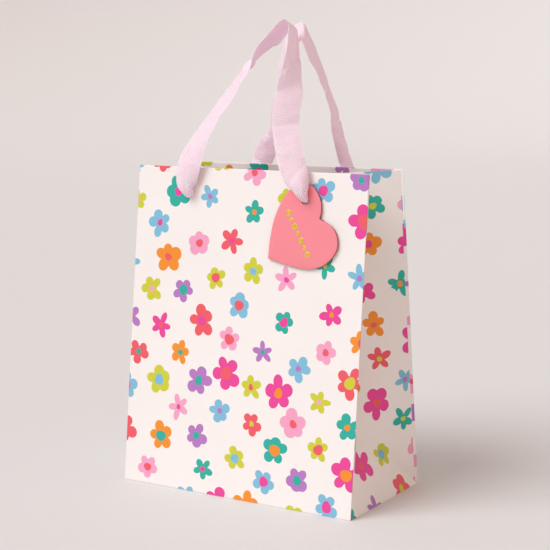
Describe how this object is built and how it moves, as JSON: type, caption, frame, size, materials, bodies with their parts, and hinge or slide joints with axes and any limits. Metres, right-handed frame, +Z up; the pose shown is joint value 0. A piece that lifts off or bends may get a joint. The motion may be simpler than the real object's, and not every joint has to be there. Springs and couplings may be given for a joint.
{
  "type": "gift bag",
  "caption": "Gusseted paper gift bag with a turned-in top edge, knotted ribbon handles, a heart-shaped hanging tag, folding side gussets and a mouth that opens and closes.",
  "frame": {"origin": "centre of the base, on the surface the bag stands on", "axes": "+Z up, +X to the right of the front panel, +Y from the front panel to the back panel"},
  "size_m": [0.2026, 0.1078, 0.3551],
  "materials": {
    "printed_paper": "matte laminated art paper with a printed pattern of small flowers",
    "plain_paper": "uncoated inner side of the paper",
    "card": "stiff white-lined card",
    "grey_board": "plain board lined with white paper",
    "ribbon": "light pink herringbone twill ribbon",
    "tag_board": "coral pink matte board",
    "gold_foil": "stamped gold foil"
  },
  "bodies": {
    "base": {"base_board": "grey_board", "bottom_flap_front": "plain_paper", "bottom_flap_back": "plain_paper", "bottom_flap_right": "plain_paper", "bottom_flap_left": "plain_paper"},
    "front_wall": {"front_panel": "printed_paper", "front_stiffening_card": "card", "front_top_hem": "printed_paper"},
    "back_wall": {"back_panel": "printed_paper", "back_stiffening_card": "card", "back_top_hem": "printed_paper"},
    "right_front_gusset": {"right_gusset_front_half": "printed_paper", "right_gusset_front_hem": "printed_paper"},
    "right_back_gusset": {"right_gusset_back_half": "printed_paper", "right_gusset_back_hem": "printed_paper", "side_glue_flap": "plain_paper"},
    "left_front_gusset": {"left_gusset_front_half": "printed_paper", "left_gusset_front_hem": "printed_paper"},
    "left_back_gusset": {"left_gusset_back_half": "printed_paper", "left_gusset_back_hem": "printed_paper"},
    "right_foot": {"right_gusset_foot": "printed_paper"},
    "left_foot": {"left_gusset_foot": "printed_paper"},
    "front_knots": {"front_left_knot": "ribbon", "front_right_knot": "ribbon"},
    "back_knots": {"back_left_knot": "ribbon", "back_right_knot": "ribbon"},
    "front_handle": {"front_ribbon_handle": "ribbon"},
    "back_handle": {"back_ribbon_handle": "ribbon"},
    "tag": {"heart_tag": "tag_board", "tag_foil_dots": "gold_foil"}
  },
  "joints": [
    {"name": "mouth_open", "type": "hinge", "parent": "base", "child": "front_wall", "pos_m": [0, -0.054, 0], "axis": [1, 0, 0], "range_deg": [-4.2, 3.5]},
    {"name": "back_wall_lean", "type": "hinge", "parent": "base", "child": "back_wall", "pos_m": [0, 0.054, 0], "axis": [-1, 0, 0], "range_deg": [-4.4, 3.7]},
    {"name": "right_front_gusset_fold", "type": "hinge", "parent": "front_wall", "child": "right_front_gusset", "pos_m": [0.1015, -0.05201, -0.00022], "axis": [0, 0.1115, 0.9938], "range_deg": [-18.67, 22.3]},
    {"name": "right_back_gusset_fold", "type": "hinge", "parent": "back_wall", "child": "right_back_gusset", "pos_m": [0.1015, 0.05201, -0.00022], "axis": [0, 0.1115, -0.9938], "range_deg": [-18.67, 22.3]},
    {"name": "left_front_gusset_fold", "type": "hinge", "parent": "front_wall", "child": "left_front_gusset", "pos_m": [-0.1015, -0.05201, -0.00022], "axis": [0, -0.1115, -0.9938], "range_deg": [-18.67, 22.3]},
    {"name": "left_back_gusset_fold", "type": "hinge", "parent": "back_wall", "child": "left_back_gusset", "pos_m": [-0.1015, 0.05201, -0.00022], "axis": [0, -0.1115, 0.9938], "range_deg": [-18.67, 22.3]},
    {"name": "right_foot_fold", "type": "hinge", "parent": "base", "child": "right_foot", "pos_m": [0.1015, 0, 0], "axis": [0, -1, 0], "range_deg": [-7.15, 8.48]},
    {"name": "left_foot_fold", "type": "hinge", "parent": "base", "child": "left_foot", "pos_m": [-0.1015, 0, 0], "axis": [0, 1, 0], "range_deg": [-7.15, 8.48]},
    {"name": "front_knots_lean", "type": "hinge", "parent": "front_wall", "child": "front_knots", "pos_m": [0, -0.02816, 0.22502], "axis": [1, 0, 0], "range_deg": [-9.64, 11.57]},
    {"name": "back_knots_lean", "type": "hinge", "parent": "back_wall", "child": "back_knots", "pos_m": [0, 0.02816, 0.22502], "axis": [-1, 0, 0], "range_deg": [-9.64, 11.57]},
    {"name": "front_handle_fold", "type": "hinge", "parent": "front_knots", "child": "front_handle", "pos_m": [0, -0.03223, 0.22548], "axis": [1, 0, 0], "range_deg": [0, 112]},
    {"name": "back_handle_fold", "type": "hinge", "parent": "back_knots", "child": "back_handle", "pos_m": [0, 0.03223, 0.22548], "axis": [-1, 0, 0], "range_deg": [0, 130]},
    {"name": "tag_swing", "type": "hinge", "parent": "front_wall", "child": "tag", "pos_m": [0.051, -0.03024, 0.22526], "axis": [0, -0.9938, 0.1115], "range_deg": [-35, 35]}
  ],
  "couplings": [
    {"joint": "back_wall_lean", "follows": "mouth_open", "ratio": 1},
    {"joint": "right_front_gusset_fold", "follows": "mouth_open", "ratio": -5.19},
    {"joint": "right_back_gusset_fold", "follows": "mouth_open", "ratio": -5.19},
    {"joint": "left_front_gusset_fold", "follows": "mouth_open", "ratio": -5.19},
    {"joint": "left_back_gusset_fold", "follows": "mouth_open", "ratio": -5.19},
    {"joint": "right_foot_fold", "follows": "mouth_open", "ratio": -1.9},
    {"joint": "left_foot_fold", "follows": "mouth_open", "ratio": -1.9},
    {"joint": "front_knots_lean", "follows": "mouth_open", "ratio": -2.75},
    {"joint": "back_knots_lean", "follows": "mouth_open", "ratio": -2.75}
  ]
}
